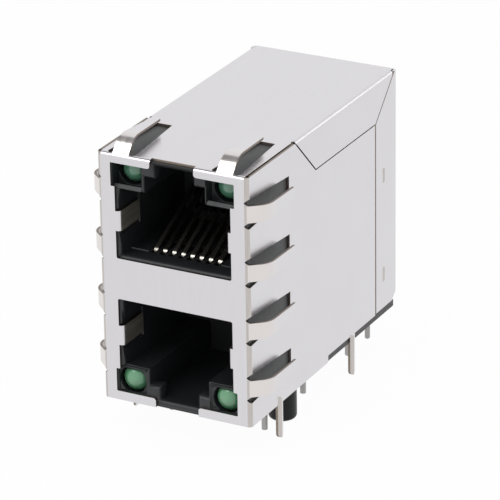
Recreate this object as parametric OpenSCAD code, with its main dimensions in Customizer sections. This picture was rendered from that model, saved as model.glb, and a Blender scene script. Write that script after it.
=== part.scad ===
// Stacked two-port modular board jack with a folded shield, status lights and built-in transformers.
// X is the width, the ports open towards -Y and Z is up.
// The origin lies on the board surface, midway between the two locating pegs.
// Inside the modules, depths are counted from the front face of the shield.

/* [Shield] */
// Outer width of the shield
body_w = 16.5; // [16.3:0.1:17.5]
// Outer depth of the shield
body_d = 32.9; // [31:0.1:36]
// Height of the shield above the board
body_h = 26.35; // [26:0.05:28]
// Thickness of the shield sheet
sheet_t = 0.25; // [0.2:0.01:0.3]
// Outer radius of the sheet bends
bend_r = 0.45; // [0.35:0.01:0.6]
// Open seam between neighbouring sheet edges
seam = 0.12; // [0.06:0.01:0.2]
// Open seam at the mitred rear ends of the side flaps
mitre_seam = 0.05; // [0.03:0.01:0.1]
// Depth at which the top panel starts to fold down as side flaps
flap_start_y = 10.1; // [9.8:0.1:12]
// Drop of the side flaps below the top of the shield
flap_drop = 4.3; // [3:0.1:6]
// Depth of the side strips of the rear cover
rear_strip_d = 5.1; // [4:0.1:6]
// Lower edge of the rear cover above the board
rear_edge_z = 0.87; // [0.8:0.01:1.5]
// Height of the step in the lower edge of the side panels
side_step_z = 0.75; // [0.3:0.05:0.8]
// Height of the lower dimple in a side strip of the rear cover
dimple_low_z = 4.65; // [4:0.05:6]
// Spacing of the two dimples in a side strip
dimple_pitch = 11.07; // [8:0.01:12]

/* [Contact fingers of the shield] */
// Distance of the highest side finger below the top of the shield
finger_top_gap = 3.85; // [3.6:0.05:4.2]
// Height of the lowest side finger above the board
finger_low_z = 4.1; // [3.8:0.05:4.4]
// Distance of the top fingers from the side of the shield
top_finger_inset = 2.55; // [2.4:0.05:3]
// Width of a finger at its root
finger_w = 1.75; // [1.4:0.05:2]
// Width of a finger at its tip
finger_tip_w = 0.9; // [0.7:0.05:1.3]
// Depth at which a finger ends
finger_tip_y = 7.6; // [6.8:0.1:8.2]
// How far a finger stands out from its panel
finger_rise = 1.45; // [1.2:0.05:1.6]
// Angle at which a finger leaves its panel
finger_angle = 50; // [45:1:55]
// Angle at which the rear end of a finger falls back
finger_fall = 3; // [1:0.5:5]
// Radius of the bow of a finger
finger_bow_r = 2.2; // [1.8:0.1:2.6]
// Diameter of the relief holes beside the root of a finger
relief_d = 0.66; // [0.5:0.02:0.8]
// Distance from the tip of a side finger to the end of its slot
slot_tip_gap = 1.0; // [0.5:0.1:1.5]
// Width of the side slots at their rear end
slot_end_w = 1.86; // [1.6:0.02:2.2]
// Distance by which the slots of the top fingers start further back
top_slot_shift = 0.28; // [0.1:0.01:0.4]
// Distance by which the slots of the top fingers end further back
top_slot_extra = 0.4; // [0:0.05:0.8]
// Width of the top slots at their rear end
top_slot_end_w = 1.76; // [1.6:0.02:2.2]

/* [Board tabs of the shield] */
// Depth of the front board tabs
front_tab_y = 6.2; // [5:0.1:8]
// Distance of the rear board tabs from the rear edge of the side panels
rear_tab_gap = 5.33; // [4:0.01:6.5]
// Width of a board tab
tab_w = 1.1; // [0.95:0.05:1.4]
// Length of a board tab below the board surface
tab_l = 3.69; // [3:0.01:4]
// Height of the crease pressed along the middle of a board tab
crease_h = 0.17; // [0.1:0.01:0.2]
// Height up to which that crease runs into the side panel
crease_top_z = 1.0; // [0.9:0.05:2]

/* [Ports] */
// Half width of a port cavity
cavity_x = 5.92; // [5.9:0.01:6.05]
// Cavity floor, measured from the middle of the jack
cavity_v0 = 2.44; // [2.35:0.01:2.6]
// Depth at which the cavity ends
cavity_y1 = 13.2; // [13:0.1:13.6]
// Lead-in around the mouth of a port
lead_in = 0.4; // [0.3:0.01:0.45]
// Edge of the window in the front panel beside a cavity
window_margin = 0.44; // [0.38:0.01:0.5]
// Edge of that window below a cavity
window_sill = 0.27; // [0.2:0.01:0.35]
// Half width of the latch slot
latch_x = 3.26; // [3.1:0.01:3.3]
// Height of the latch slot above the cavity roof
latch_h = 1.69; // [1.6:0.01:1.9]
// Half width of the key slot above the latch slot
key_x = 2.1; // [1.9:0.01:2.3]
// Distance of the key slot from the top of the shield
key_top = 0.755; // [0.73:0.005:0.9]
// Thickness of the ledges that hold the plug's latch
latch_ledge_t = 1.5; // [1.2:0.1:2]
// Half width of the notch in the sheet above the key slot
notch_x = 2.4; // [2.2:0.05:2.6]
// Depth of that notch
notch_y1 = 0.62; // [0.5:0.01:0.8]
// Height of the middle of the inner ground tabs above the cavity floor
inner_tab_rise = 3.68; // [3.5:0.02:3.9]
// Height of an inner ground tab
inner_tab_h = 2.1; // [1.8:0.1:2.4]
// Depth at which an inner ground tab ends
inner_tab_y1 = 3.85; // [3:0.05:4.5]

/* [Contacts] */
// Spacing of the contacts
contact_pitch = 1.016; // [0.98:0.002:1.04]
// Width of a contact wire
contact_w = 0.42; // [0.4:0.01:0.5]
// Thickness of a contact wire
contact_t = 0.3; // [0.25:0.01:0.35]
// Depth of the centre of the front bend
contact_bend_y = 3.4; // [3.3:0.01:3.6]
// Outer radius of the front bend
contact_bend_r = 0.6; // [0.5:0.01:0.7]
// Underside of the contact legs, measured from the middle of the jack
contact_leg_v = 1.56; // [1.5:0.01:1.65]
// Distance of the contact tips below the bar of the comb
contact_tip_gap = 0.42; // [0.3:0.01:0.6]

/* [Status lights] */
// Distance of the light windows from the top of the shield
light_window_top = 0.945; // [0.9:0.005:1]
// Height of a light window
light_window_h = 2.47; // [2.4:0.01:2.55]
// Distance by which a light window is wider than the window of the port
light_window_step = 0.42; // [0.38:0.01:0.46]
// Distance from a light window down to the cavity roof
shelf_t = 0.38; // [0.36:0.01:0.5]
// Radius of a light
light_r = 1.42; // [1.36:0.01:1.44]
// Depth of the front of the upper lights
upper_light_y0 = 1.65; // [1.4:0.05:1.9]
// Depth of the front of the lower lights
lower_light_y0 = 0.6; // [0.55:0.05:0.9]
// Depth at which the lights end
light_y1 = 4.9; // [4.5:0.1:5]
// Radius of the leads of the lights
lead_r = 0.31; // [0.22:0.01:0.34]
// Distance from a lower light to its leads
lower_lead_gap = 1.3; // [1.1:0.1:1.5]
// Spacing of the leads of the lower lights
lower_lead_pitch = 2.4; // [2.2:0.01:2.54]
// Distance from the cavity's rear wall to the leads of the upper lights
upper_lead_gap = 1.1; // [1:0.1:1.4]
// Spacing of the leads of the upper lights
upper_lead_pitch = 1.7; // [1.66:0.01:1.8]

/* [Housing and base] */
// Gap between the shield and the plastic inside it
housing_gap = 0.05; // [0.02:0.01:0.1]
// Thickness of the rear hood walls of the housing
hood_t = 0.5; // [0.4:0.05:0.6]
// Radius of the locating pegs
peg_r = 1.45; // [1.3:0.05:1.6]
// Length of the locating pegs below the board surface
peg_l = 3.65; // [2.5:0.05:3.8]
// Radius of the rounded tips of the pegs
peg_tip_r = 0.4; // [0.2:0.05:0.8]
// Distance of the locating pegs from the centre line
peg_x = 6.35; // [6:0.05:6.35]
// Depth of the locating pegs
peg_y = 10.3; // [9.5:0.1:12]
// Thickness of the base plate
base_t = 1.6; // [1.3:0.1:2]
// Radius of the signal pins
pin_r = 0.28; // [0.22:0.01:0.32]
// Length of the pins and leads below the board surface
pin_l = 3.2; // [2.4:0.1:3.4]
// Distance of the last row of signal pins from the rear of the shield
pin_rear_gap = 3.0; // [2.6:0.1:3.2]
// Spacing of the rows of signal pins
pin_row_pitch = 2.35; // [2.3:0.01:2.5]
// Spacing of the pins in a row
pin_pitch = 2.5; // [2.3:0.01:2.54]

/* [Boards and coils] */
// Thickness of the inner circuit boards
board_t = 1.0; // [0.8:0.1:1.1]
// Wall of the coil cases
coil_case_wall = 0.4; // [0.3:0.05:0.5]
// Gap around a wound core in its compartment
coil_gap = 0.1; // [0.05:0.05:0.3]
// Inner radius of the bare core
core_bore_r = 0.6; // [0.5:0.05:0.7]
// Thickness of the winding around a core
winding_t = 0.22; // [0.15:0.01:0.3]
// Length of a wound core along its axis
coil_l = 2.4; // [1.8:0.1:3]

/* [Hidden] */
$fn = 48;
eps = 0.01;
mid_z = body_h / 2;
shield_in_x = body_w / 2 - sheet_t;
side_back_y = body_d - rear_strip_d - seam;
flap_z = body_h - flap_drop;

// Openings of the front panel
window_x = cavity_x + window_margin;
window_v0 = cavity_v0 - window_sill;
window_corner_r = 0.2;
light_window_x = window_x + light_window_step;
light_window_v1 = mid_z - light_window_top;
light_window_v0 = light_window_v1 - light_window_h;
inner_tab_v = cavity_v0 + inner_tab_rise;
inner_tab_x = cavity_x - 0.1;

// Contact fingers and board tabs
finger_count = 4;
finger_pitch = (body_h - finger_top_gap - finger_low_z) / (finger_count - 1);
top_finger_x = body_w / 2 - top_finger_inset;
slot_w = finger_w + 2 * relief_d;
slot_end_y = finger_tip_y + slot_tip_gap;
rear_tab_y = side_back_y - rear_tab_gap;

// Housing
housing_x = shield_in_x - housing_gap;
housing_y0 = sheet_t;
housing_top_v = mid_z - sheet_t - housing_gap;
housing_edge_r = bend_r - sheet_t + housing_gap;
housing_rear_gap = 0.35;
housing_y1 = body_d - sheet_t - housing_rear_gap;
module_x = housing_x - hood_t - housing_gap;
rear_wall_t = 1.0;
pocket_y0 = cavity_y1 + rear_wall_t;
cavity_v1 = light_window_v0 - shelf_t;
latch_v1 = cavity_v1 + latch_h;
key_v1 = mid_z - key_top;
tab_recess_extra = 0.5;

// Lights
light_v = (light_window_v0 + light_window_v1) / 2;
light_edge_gap = 0.11;
light_x = light_window_x - light_r - light_edge_gap;
light_wall = 0.29;
light_pocket_drop = 0.24;
lower_lead_y = light_y1 + lower_lead_gap;
upper_lead_y = pocket_y0 + upper_lead_gap;
lead_room = 0.1;
lead_channel_h = 1.0;
lead_turn_r = 0.8;

// Contacts and contact inserts
contact_count = 8;
floor_step = 0.16;
contact_front_gap = 0.6;
floor_step_y = contact_bend_y - contact_bend_r - contact_front_gap;
insert_margin = 0.18;
insert_x = (contact_count - 1) / 2 * contact_pitch + contact_w / 2 + insert_margin;
insert_gap = 0.05;
insert_front_y = floor_step_y + insert_gap;
insert_rear_l = 1.6;
insert_back_y = pocket_y0 + insert_rear_l;
insert_top_v = cavity_v0 + floor_step;
plate_t = 0.2;
comb_l = 1.8;
comb_y0 = cavity_y1 - comb_l;
comb_slot_w = contact_w + 0.2;
comb_slot_wall = 0.6;
comb_slot_y1 = cavity_y1 - comb_slot_wall;
comb_drop = 1.18;
comb_v1 = cavity_v1 - comb_drop;
comb_bar = 0.7;
contact_slot_l = 1.85;
contact_slot_y1 = contact_bend_y + contact_slot_l;
contact_tip_r = 0.6;
contact_tip_turn = 40;
contact_tip_y = cavity_y1 - 1.1;
contact_tip_v = comb_v1 - comb_bar - contact_tip_gap;
contact_reach = [contact_tip_y - contact_bend_y, contact_tip_v - contact_leg_v - contact_bend_r];
contact_angle = atan2(contact_reach.y, contact_reach.x) - asin(contact_bend_r / norm(contact_reach));

// Base, boards and coil cases
base_front_gap = 1.45;
base_y0 = upper_lead_y + base_front_gap;
side_step_y = base_y0 + housing_gap;
flange_inset = 0.15;
flange_x = body_w / 2 - flange_inset;
flange_tab_gap = 0.1;
board_top_v = contact_leg_v;
board_low_v = board_top_v - board_t;
board_y0 = insert_back_y + insert_gap;
board_shoulder_gap = 0.55;
board_shoulder_y = base_y0 + board_shoulder_gap;
contact_tail_y = board_shoulder_y - 0.05;
board_edge = 1.25;
pin_row_y = body_d - pin_rear_gap - 2 * pin_row_pitch;
lower_board_y1 = pin_row_y + pin_row_pitch + board_edge;
upper_board_y1 = pin_row_y + 2 * pin_row_pitch + board_edge;
tower_wall = 0.9;
tower_y0 = pin_row_y - tower_wall;
tower_rear_gap = 0.7;
tower_y1 = housing_y1 - tower_rear_gap;
tower_rail_x = 0.5;
case_gap = 0.1;
coil_case_y0 = board_shoulder_y + case_gap;
coil_case_y1 = tower_y0 - case_gap;
coil_case_v1 = mid_z - base_t;
coil_count = 4;
coil_pitch = (2 * module_x - coil_case_wall) / coil_count;
coil_r = (coil_pitch - coil_case_wall) / 2 - coil_gap;
coil_y = (coil_case_y0 + coil_case_y1) / 2;
pin_clear = 0.05;
pin_hole_r = pin_r + pin_clear;
pin_end_h = 0.4;

// Chips
resistor_l = 1.6;
resistor_w = 0.8;
resistor_h = 0.45;
capacitor_l = 1.25;
capacitor_w = 1.4;
capacitor_h = 0.65;
chip_space = 0.75;
chip_gap = 0.25;
chip_y = pin_row_y + pin_r + chip_gap;

// Helpers

// Copies what is on the right to the left
module both_sides() {
    children();
    mirror([1, 0, 0]) children();
}

// Draws a port feature, measured from the middle of the jack, for the upper port
module upper_port() {
    translate([0, 0, mid_z]) children();
}

// The same feature upside down, for the lower port
module lower_port() {
    translate([0, 0, mid_z]) mirror([0, 0, 1]) children();
}

module each_port() {
    upper_port() children();
    lower_port() children();
}

// Box between two opposite corners
module span(a, b) {
    translate(a) cube(b - a);
}

// Rectangle between two corners with rounded corners
module round_rect(a, b, r) {
    translate([a.x + r, a.y]) square([b.x - a.x - 2 * r, b.y - a.y]);
    translate([a.x, a.y + r]) square([b.x - a.x, b.y - a.y - 2 * r]);
    for (x = [a.x + r, b.x - r], y = [a.y + r, b.y - r])
        translate([x, y]) circle(r);
}

// Outline drawn in width and height, given a depth along Y
module along_y(y0, y1) {
    translate([0, y1, 0]) rotate([90, 0, 0]) linear_extrude(y1 - y0) children();
}

// Outline drawn in depth and height, given a width along X
module along_x(x0, x1) {
    translate([x0, 0, 0]) rotate([90, 0, 90]) linear_extrude(x1 - x0) children();
}

// Strip of sheet bent along an arc, from one angle to another
module bent_strip(r, t, a0, a1) {
    reach = 2 * r;
    intersection() {
        difference() {
            circle(r);
            circle(r - t);
        }
        polygon([
            [0, 0],
            [reach * cos(a0), reach * sin(a0)],
            [reach * cos((a0 + a1) / 2), reach * sin((a0 + a1) / 2)],
            [reach * cos(a1), reach * sin(a1)]
        ]);
    }
}

// Shield

// Outline of the folded sheet seen from above, open at the rear
module shield_plan() {
    half = body_w / 2;
    difference() {
        union() {
            translate([-half, bend_r]) square([body_w, side_back_y - bend_r]);
            translate([-half + bend_r, 0]) square([body_w - 2 * bend_r, bend_r + eps]);
            for (s = [-1, 1]) translate([s * (half - bend_r), bend_r]) circle(bend_r);
        }
        translate([-shield_in_x, bend_r]) square([2 * shield_in_x, body_d]);
        translate([-half + bend_r, sheet_t]) square([body_w - 2 * bend_r, bend_r]);
        for (s = [-1, 1]) translate([s * (half - bend_r), bend_r]) circle(bend_r - sheet_t);
    }
}

// Side view of the front cover's side panels
module side_outline() {
    top = body_h - seam / 2;
    flap_gap = seam * sqrt(2);
    chamfer = 0.15;
    polygon([
        [-eps, 0],
        [side_step_y - chamfer, 0],
        [side_step_y, chamfer],
        [side_step_y, side_step_z],
        [side_back_y, side_step_z],
        [side_back_y, flap_z - seam],
        [flap_start_y + flap_drop - flap_gap / 2, flap_z - seam],
        [flap_start_y - flap_gap, top],
        [-eps, top]
    ]);
}

// Top panel with the bend that joins it to the front
module top_panel() {
    edge_x = shield_in_x - seam;
    along_x(-edge_x, edge_x) union() {
        translate([bend_r, body_h - bend_r]) bent_strip(bend_r, sheet_t, 90, 180);
        translate([bend_r - eps, body_h - sheet_t])
            square([body_d - sheet_t - seam - bend_r + eps, sheet_t]);
    }
}

// Side flap of the top panel, with its bend and its mitred rear end
module top_flap() {
    half = body_w / 2;
    inner = shield_in_x - seam - 2 * sheet_t;
    mitre_y = side_back_y + 1.5 * seam - mitre_seam * sqrt(2);
    intersection() {
        along_y(flap_start_y, body_d - sheet_t - seam) union() {
            translate([half - bend_r, body_h - bend_r]) bent_strip(bend_r, sheet_t, 0, 90);
            translate([shield_in_x, flap_z]) square([sheet_t, flap_drop - bend_r + eps]);
            translate([inner, body_h - sheet_t]) square([half - bend_r - inner + eps, sheet_t]);
        }
        along_x(0, body_w) polygon([
            [flap_start_y, body_h + 1],
            [flap_start_y, body_h],
            [flap_start_y + flap_drop, flap_z],
            [mitre_y, flap_z],
            [mitre_y + flap_drop + 1, body_h + 1]
        ]);
    }
}

// Window of one port in the front panel, with the notch above its key slot
module port_window() {
    light_corner_r = 0.1;
    r = 0.3;
    notch_v = light_window_v1 - light_corner_r;
    along_y(-eps, sheet_t + eps) {
        round_rect([-window_x, window_v0], [window_x, light_window_v0 + 2 * window_corner_r],
                   window_corner_r);
        round_rect([-light_window_x, light_window_v0], [light_window_x, light_window_v1],
                   light_corner_r);
        // Rounded corners between the light windows and the notch
        for (s = [0, 1]) mirror([s, 0]) difference() {
            translate([notch_x - eps, light_window_v1 - eps]) square(r + eps);
            translate([notch_x + r, light_window_v1 + r]) circle(r);
        }
    }
    along_y(-eps, notch_y1) translate([-notch_x, notch_v]) square([2 * notch_x, mid_z - notch_v + 1]);
}

// Slot around a finger, with a relief hole on each side of its root.
// Drawn with the panel at X = 0, the finger along Y and its width along Z.
module finger_slot(start_y, end_y, end_w) {
    hole_y = start_y + relief_d / 2;
    along_x(-bend_r, sheet_t) {
        polygon([
            [hole_y, -slot_w / 2],
            [end_y, -end_w / 2],
            [end_y, end_w / 2],
            [hole_y, slot_w / 2]
        ]);
        for (s = [-1, 1])
            translate([hole_y, s * (slot_w - relief_d) / 2]) circle(relief_d / 2);
    }
}

// Bowed spring finger, in the frame of its slot
module finger() {
    turn = 90 - finger_angle;
    root = [-bend_r, bend_r];
    start = root + bend_r * [cos(finger_angle), -sin(finger_angle)];
    bow_gain = finger_bow_r * (1 - cos(finger_angle));
    straight = max(0.05, (finger_rise - start.x - bow_gain) / sin(finger_angle));
    bow_start = start + straight * [cos(turn), sin(turn)];
    bow_centre = bow_start - finger_bow_r * [cos(finger_angle), -sin(finger_angle)];
    bow_end = bow_centre + finger_bow_r * [cos(finger_fall), sin(finger_fall)];
    tip_r = 0.25;
    intersection() {
        translate([0, 0, -finger_w / 2]) linear_extrude(finger_w) {
            translate([-bend_r - 0.1, 0]) square([0.1 + eps, sheet_t]);
            translate(root) bent_strip(bend_r, sheet_t, -90, -finger_angle);
            translate(bow_start) rotate(turn - 180)
                translate([-eps, -sheet_t]) square([straight + 2 * eps, sheet_t]);
            translate(bow_centre) bent_strip(finger_bow_r, sheet_t, -finger_angle, finger_fall);
            translate(bow_end) rotate(finger_fall)
                translate([-sheet_t, -eps]) square([sheet_t, finger_tip_y]);
        }
        along_x(-1, finger_rise + 1) {
            polygon([
                [-1, -finger_w / 2],
                [relief_d, -finger_w / 2],
                [finger_tip_y - tip_r, -finger_tip_w / 2],
                [finger_tip_y - tip_r, finger_tip_w / 2],
                [relief_d, finger_w / 2],
                [-1, finger_w / 2]
            ]);
            translate([finger_tip_y - 2 * tip_r, -finger_tip_w / 2 + tip_r])
                square([2 * tip_r, finger_tip_w - 2 * tip_r]);
            for (s = [-1, 1])
                translate([finger_tip_y - tip_r, s * (finger_tip_w / 2 - tip_r)]) circle(tip_r);
        }
    }
}

// Places a finger feature at each of the four positions on the right side
module at_side_fingers() {
    for (i = [0 : finger_count - 1])
        translate([body_w / 2, 0, finger_low_z + i * finger_pitch]) children();
}

// Places a finger feature at the position on the right of the top
module at_top_finger() {
    translate([top_finger_x, 0, body_h]) rotate([0, -90, 0]) children();
}

// Ground tab that folds into a port from the edge of its window
module inner_tab() {
    centre_x = inner_tab_x + bend_r;
    translate([0, 0, inner_tab_v - inner_tab_h / 2]) linear_extrude(inner_tab_h) {
        translate([centre_x, bend_r]) bent_strip(bend_r, sheet_t, 180, 270);
        translate([inner_tab_x, bend_r - eps]) square([sheet_t, inner_tab_y1 - bend_r]);
        translate([centre_x - eps, 0]) square([window_x - centre_x + 0.2, sheet_t]);
    }
}

// Shallow roof on a plane at the given X, as wide as a board tab, with a slanted upper end
module crease(x, y, root) {
    slant = 0.3;
    intersection() {
        translate([0, 0, -tab_l - 1]) linear_extrude(tab_l + 1 + crease_top_z) polygon([
            [x - root, y - tab_w / 2],
            [x, y - tab_w / 2],
            [x + crease_h, y],
            [x, y + tab_w / 2],
            [x - root, y + tab_w / 2]
        ]);
        along_y(y - tab_w, y + tab_w) polygon([
            [x - root, -tab_l - 1],
            [x + crease_h, -tab_l - 1],
            [x + crease_h, crease_top_z - slant],
            [x, crease_top_z],
            [x - root, crease_top_z]
        ]);
    }
}

// Board tab under a side panel, with a round tip and a crease that runs up into the panel
module board_tab(y) {
    low_z = -tab_l + tab_w / 2;
    intersection() {
        crease(body_w / 2, y, sheet_t);
        along_x(shield_in_x, body_w) {
            translate([y - tab_w / 2, low_z]) square([tab_w, crease_top_z + 1 - low_z]);
            translate([y, low_z]) circle(tab_w / 2);
        }
    }
}

module front_shield() {
    corner_x = shield_in_x - seam;
    corner_hole_d = 0.35;
    flap_hole_d = 0.5;
    color([0.83, 0.83, 0.84]) {
        difference() {
            union() {
                difference() {
                    intersection() {
                        linear_extrude(body_h) shield_plan();
                        along_x(-body_w, body_w) side_outline();
                    }
                    span([-corner_x, -1, body_h - bend_r], [corner_x, bend_r + eps, body_h + 1]);
                }
                top_panel();
                both_sides() {
                    top_flap();
                    board_tab(front_tab_y);
                    board_tab(rear_tab_y);
                }
            }
            each_port() port_window();
            both_sides() {
                at_side_fingers() finger_slot(0, slot_end_y, slot_end_w);
                at_top_finger()
                    finger_slot(top_slot_shift, slot_end_y + top_slot_extra, top_slot_end_w);
                crease(shield_in_x, front_tab_y, eps);
                crease(shield_in_x, rear_tab_y, eps);
                translate([body_w / 2 - bend_r / 2, bend_r, body_h])
                    cylinder(h = 2 * sheet_t, d = corner_hole_d, center = true);
                translate([shield_in_x, flap_start_y, body_h])
                    cylinder(h = 4 * sheet_t, d = flap_hole_d, center = true);
            }
        }
        both_sides() {
            at_side_fingers() finger();
            at_top_finger() finger();
        }
        each_port() both_sides() inner_tab();
    }
}

// Outline of the rear cover seen from above
module rear_plan() {
    half = body_w / 2;
    difference() {
        union() {
            translate([-half, side_back_y + seam])
                square([body_w, body_d - bend_r - side_back_y - seam]);
            translate([-half + bend_r, body_d - bend_r - eps])
                square([body_w - 2 * bend_r, bend_r + eps]);
            for (s = [-1, 1]) translate([s * (half - bend_r), body_d - bend_r]) circle(bend_r);
        }
        translate([-shield_in_x, 0]) square([2 * shield_in_x, body_d - bend_r]);
        translate([-half + bend_r, 0]) square([body_w - 2 * bend_r, body_d - sheet_t]);
        for (s = [-1, 1])
            translate([s * (half - bend_r), body_d - bend_r]) circle(bend_r - sheet_t);
    }
}

// Oval dimple pressed into a side strip
module strip_dimple(level) {
    dimple_w = 0.5;
    dimple_h = 1.65;
    dimple_d = 0.1;
    dimple_rear_gap = 3.2;
    r = (dimple_w * dimple_w / 4 + dimple_d * dimple_d) / (2 * dimple_d);
    half = (dimple_h - dimple_w) / 2;
    translate([body_w / 2 + r - dimple_d, body_d - dimple_rear_gap, level]) {
        cylinder(h = 2 * half, r = r, center = true);
        for (s = [-1, 1]) translate([0, 0, s * half]) sphere(r);
    }
}

module rear_shield() {
    front_y = side_back_y + seam;
    chamfer = 1.2;
    low_x = body_w / 2 - bend_r - 0.1;
    color([0.83, 0.83, 0.84]) {
        difference() {
            intersection() {
                linear_extrude(body_h) rear_plan();
                along_x(-body_w, body_w) polygon([
                    [front_y, rear_edge_z],
                    [body_d - chamfer, rear_edge_z],
                    [body_d + eps, rear_edge_z + chamfer],
                    [body_d + eps, body_h - seam / 2],
                    [front_y + flap_drop, body_h - seam / 2],
                    [front_y, flap_z - seam / 2]
                ]);
            }
            both_sides() for (level = [dimple_low_z, dimple_low_z + dimple_pitch])
                strip_dimple(level);
        }
        span([-low_x, body_d - sheet_t, rear_edge_z], [low_x, body_d, rear_edge_z + chamfer + eps]);
    }
}

// Housing

// Funnel that widens a slot of a port towards its mouth
module mouth(half, v0, v1) {
    y0 = housing_y0 - eps;
    reach = lead_in + eps;
    intersection() {
        translate([0, 0, v0 - reach]) linear_extrude(v1 - v0 + 2 * reach) polygon([
            [-half - reach, y0],
            [half + reach, y0],
            [half, y0 + reach],
            [-half, y0 + reach]
        ]);
        along_x(-half - reach, half + reach) polygon([
            [y0, v0 - reach],
            [y0 + reach, v0],
            [y0 + reach, v1],
            [y0, v1 + reach]
        ]);
    }
}

// Space that the housing leaves open for one port
module port_cavity() {
    tab_half = inner_tab_h / 2 + tab_recess_extra;
    span([-cavity_x, 0, cavity_v0 + floor_step], [cavity_x, cavity_y1, cavity_v1]);
    span([-cavity_x, 0, cavity_v0], [cavity_x, floor_step_y, cavity_v1]);
    mouth(cavity_x, cavity_v0, cavity_v1);
    // Slots for the plug's latch and key
    span([-latch_x, 0, cavity_v1 - 1], [latch_x, cavity_y1, latch_v1]);
    mouth(latch_x, cavity_v0, latch_v1);
    span([-key_x, 0, cavity_v1], [key_x, cavity_y1, key_v1]);
    mouth(key_x, cavity_v0, key_v1);
    span([-latch_x, housing_y0 + latch_ledge_t, cavity_v1], [latch_x, cavity_y1, key_v1]);
    // Recesses for the inner ground tabs of the shield
    both_sides() span([0, 0, inner_tab_v - tab_half],
        [inner_tab_x + sheet_t + housing_gap, inner_tab_y1 + 0.25, inner_tab_v + tab_half]);
    both_sides() span([0, 0, inner_tab_v - inner_tab_h / 2 - housing_gap],
        [window_x + 0.2, bend_r + housing_gap, inner_tab_v + inner_tab_h / 2 + housing_gap]);
}

// Pocket and bore of one light
module light_pocket(front_y) {
    side_margin = 0.06;
    span([latch_x + light_wall, 0, light_window_v0 - light_pocket_drop],
         [light_window_x - side_margin, front_y, light_window_v1]);
    translate([light_x, front_y - eps, light_v]) rotate([-90, 0, 0])
        cylinder(h = light_y1 - front_y + 0.1, r = light_r + housing_gap);
}

// Channel that takes the leads of an upper light to the rear
module upper_lead_channel() {
    half = upper_lead_pitch / 2 + lead_r + lead_room;
    span([light_x - half, light_y1, light_v - lead_channel_h / 2],
         [light_x + half, pocket_y0 + eps, light_v + lead_channel_h / 2]);
}

// Opening under a lower light for its leads
module lower_lead_opening() {
    half = lower_lead_pitch / 2 + lead_r + lead_room;
    span([light_x - half, light_y1, light_v - lead_turn_r - lead_room],
         [light_x + half, lower_lead_y + 2 * lead_r + lead_room, housing_top_v + 1]);
}

module peg() {
    translate([peg_x, peg_y, 0]) {
        translate([0, 0, -peg_l + peg_tip_r]) cylinder(h = peg_l - peg_tip_r + eps, r = peg_r);
        rotate_extrude() intersection() {
            union() {
                translate([0, -peg_l]) square([peg_r - peg_tip_r, peg_tip_r + eps]);
                translate([peg_r - peg_tip_r, -peg_l + peg_tip_r]) circle(peg_tip_r);
            }
            translate([0, -peg_l]) square([peg_r, peg_tip_r + eps]);
        }
    }
}

// Outside of the housing, rounded to clear the bends of the shield
module housing_body() {
    r = housing_edge_r;
    top_z = mid_z + housing_top_v;
    intersection() {
        linear_extrude(top_z) union() {
            translate([-housing_x, housing_y0 + r])
                square([2 * housing_x, housing_y1 - housing_y0 - r]);
            translate([-housing_x + r, housing_y0]) square([2 * (housing_x - r), r + eps]);
            for (s = [-1, 1]) translate([s * (housing_x - r), housing_y0 + r]) circle(r);
        }
        along_y(0, body_d) union() {
            translate([-housing_x, 0]) square([2 * housing_x, top_z - r]);
            translate([-housing_x + r, top_z - r - eps]) square([2 * (housing_x - r), r + eps]);
            for (s = [-1, 1]) translate([s * (housing_x - r), top_z - r]) circle(r);
        }
        along_x(-body_w, body_w) union() {
            translate([housing_y0, 0]) square([base_y0 - housing_gap - housing_y0, top_z - r]);
            translate([housing_y0 + r, base_t + housing_gap])
                square([housing_y1 - housing_y0 - r, top_z - base_t - housing_gap]);
            translate([housing_y0 + r, top_z - r]) circle(r);
        }
    }
}

module housing() {
    floor_t = 0.9;
    top_z = mid_z + housing_top_v;
    color([0.1, 0.1, 0.11]) difference() {
        union() {
            housing_body();
            both_sides() peg();
        }
        each_port() port_cavity();
        upper_port() both_sides() {
            light_pocket(upper_light_y0);
            upper_lead_channel();
        }
        lower_port() both_sides() {
            light_pocket(lower_light_y0);
            lower_lead_opening();
        }
        // Channel for the contact inserts
        span([-insert_x - insert_gap, floor_step_y, mid_z - insert_top_v - insert_gap],
             [insert_x + insert_gap, pocket_y0 + 1, mid_z + insert_top_v + insert_gap]);
        span([-insert_x - insert_gap, cavity_y1 - eps, mid_z - comb_v1 - insert_gap],
             [insert_x + insert_gap, pocket_y0 + 1, mid_z + comb_v1 + insert_gap]);
        // Space behind the ports, open to the rear
        span([-module_x - housing_gap, pocket_y0, floor_t],
             [module_x + housing_gap, body_d, top_z - floor_t]);
        // Holes in the floor for the leads of the upper lights
        both_sides() for (s = [-1, 1])
            translate([light_x + s * upper_lead_pitch / 2, upper_lead_y, -1])
                cylinder(h = floor_t + 2, r = lead_r + pin_clear);
    }
}

// Base plate with the block that holds the signal pins.
// A flange on each side reaches under the raised edge of the side panel.
module base_plate() {
    tab_room = tab_w / 2 + flange_tab_gap;
    color([0.16, 0.16, 0.17]) difference() {
        union() {
            span([-housing_x, base_y0, 0], [housing_x, housing_y1, base_t]);
            span([-flange_x, side_step_y + housing_gap, 0],
                 [flange_x, housing_y1, side_step_z - housing_gap]);
            span([-module_x, tower_y0, base_t - eps],
                 [module_x, tower_y1, mid_z - board_top_v - chip_space]);
            both_sides() span([module_x - tower_rail_x, tower_y0, base_t],
                [module_x, lower_board_y1, mid_z - board_top_v]);
        }
        for (row = [0 : 2]) at_pins(row)
            translate([0, 0, -1]) cylinder(h = mid_z, r = pin_hole_r);
        both_sides() span([housing_x, rear_tab_y - tab_room, -1],
            [body_w, rear_tab_y + tab_room, side_step_z]);
    }
}

// Contact inserts and contacts

// X positions of the contacts
function contact_x(i) = (i - (contact_count + 1) / 2) * contact_pitch;

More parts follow.
